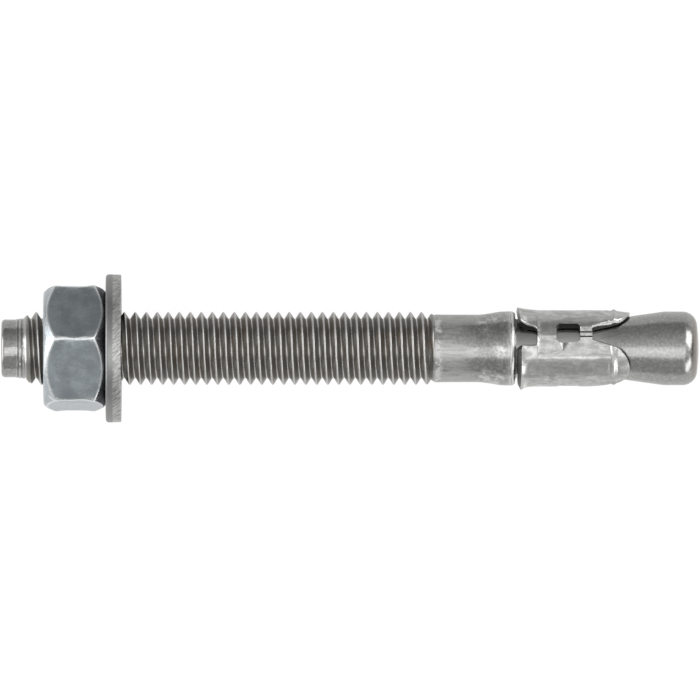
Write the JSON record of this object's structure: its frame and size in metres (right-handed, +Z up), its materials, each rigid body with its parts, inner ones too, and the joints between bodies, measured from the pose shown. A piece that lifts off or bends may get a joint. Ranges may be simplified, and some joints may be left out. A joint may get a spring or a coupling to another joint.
{
  "type": "anchor bolt",
  "caption": "Wedge anchor: threaded steel bolt with shoulder, narrow neck and expansion cone, rolled expansion clip, plain washer and hexagon nut.",
  "frame": {"origin": "middle of the bounding box, on the floor that the washer's rim and the rounded head rest on", "axes": "+X along the bolt, from the free threaded end to the cone end, which lies lower by the tilt of the resting bolt; +Z up"},
  "size_m": [0.095, 0.0202, 0.0203],
  "materials": {
    "bolt_steel": "cold-formed and rolled steel, thinly zinc plated, dull",
    "clip_steel": "rolled strip, satin with pressing marks",
    "washer_steel": "punched sheet, scratched edge",
    "nut_zinc": "blue-white zinc, smooth pressed faces"
  },
  "bodies": {
    "anchor_body": {"anchor_body": "bolt_steel"},
    "expansion_clip": {"expansion_clip": "clip_steel"},
    "washer": {"washer": "washer_steel"},
    "hex_nut": {"hex_nut": "nut_zinc"}
  },
  "joints": [
    {"name": "washer_slide", "type": "slide", "parent": "anchor_body", "child": "washer", "axis": [0.9978, 0, -0.0661], "range_m": [-0.009, 0.0435]},
    {"name": "nut_turn", "type": "hinge", "parent": "washer", "child": "hex_nut", "pos_m": [-0.03738, 0, 0.0105], "axis": [0.9978, 0, -0.0661], "range_deg": [-2160, 10440]},
    {"name": "clip_turn", "type": "hinge", "parent": "anchor_body", "child": "expansion_clip", "pos_m": [0.03039, 0, 0.00601], "axis": [0.9978, 0, -0.0661], "continuous": true}
  ],
  "couplings": [
    {"joint": "washer_slide", "follows": "nut_turn", "m_per_rad": 0.00023873}
  ]
}
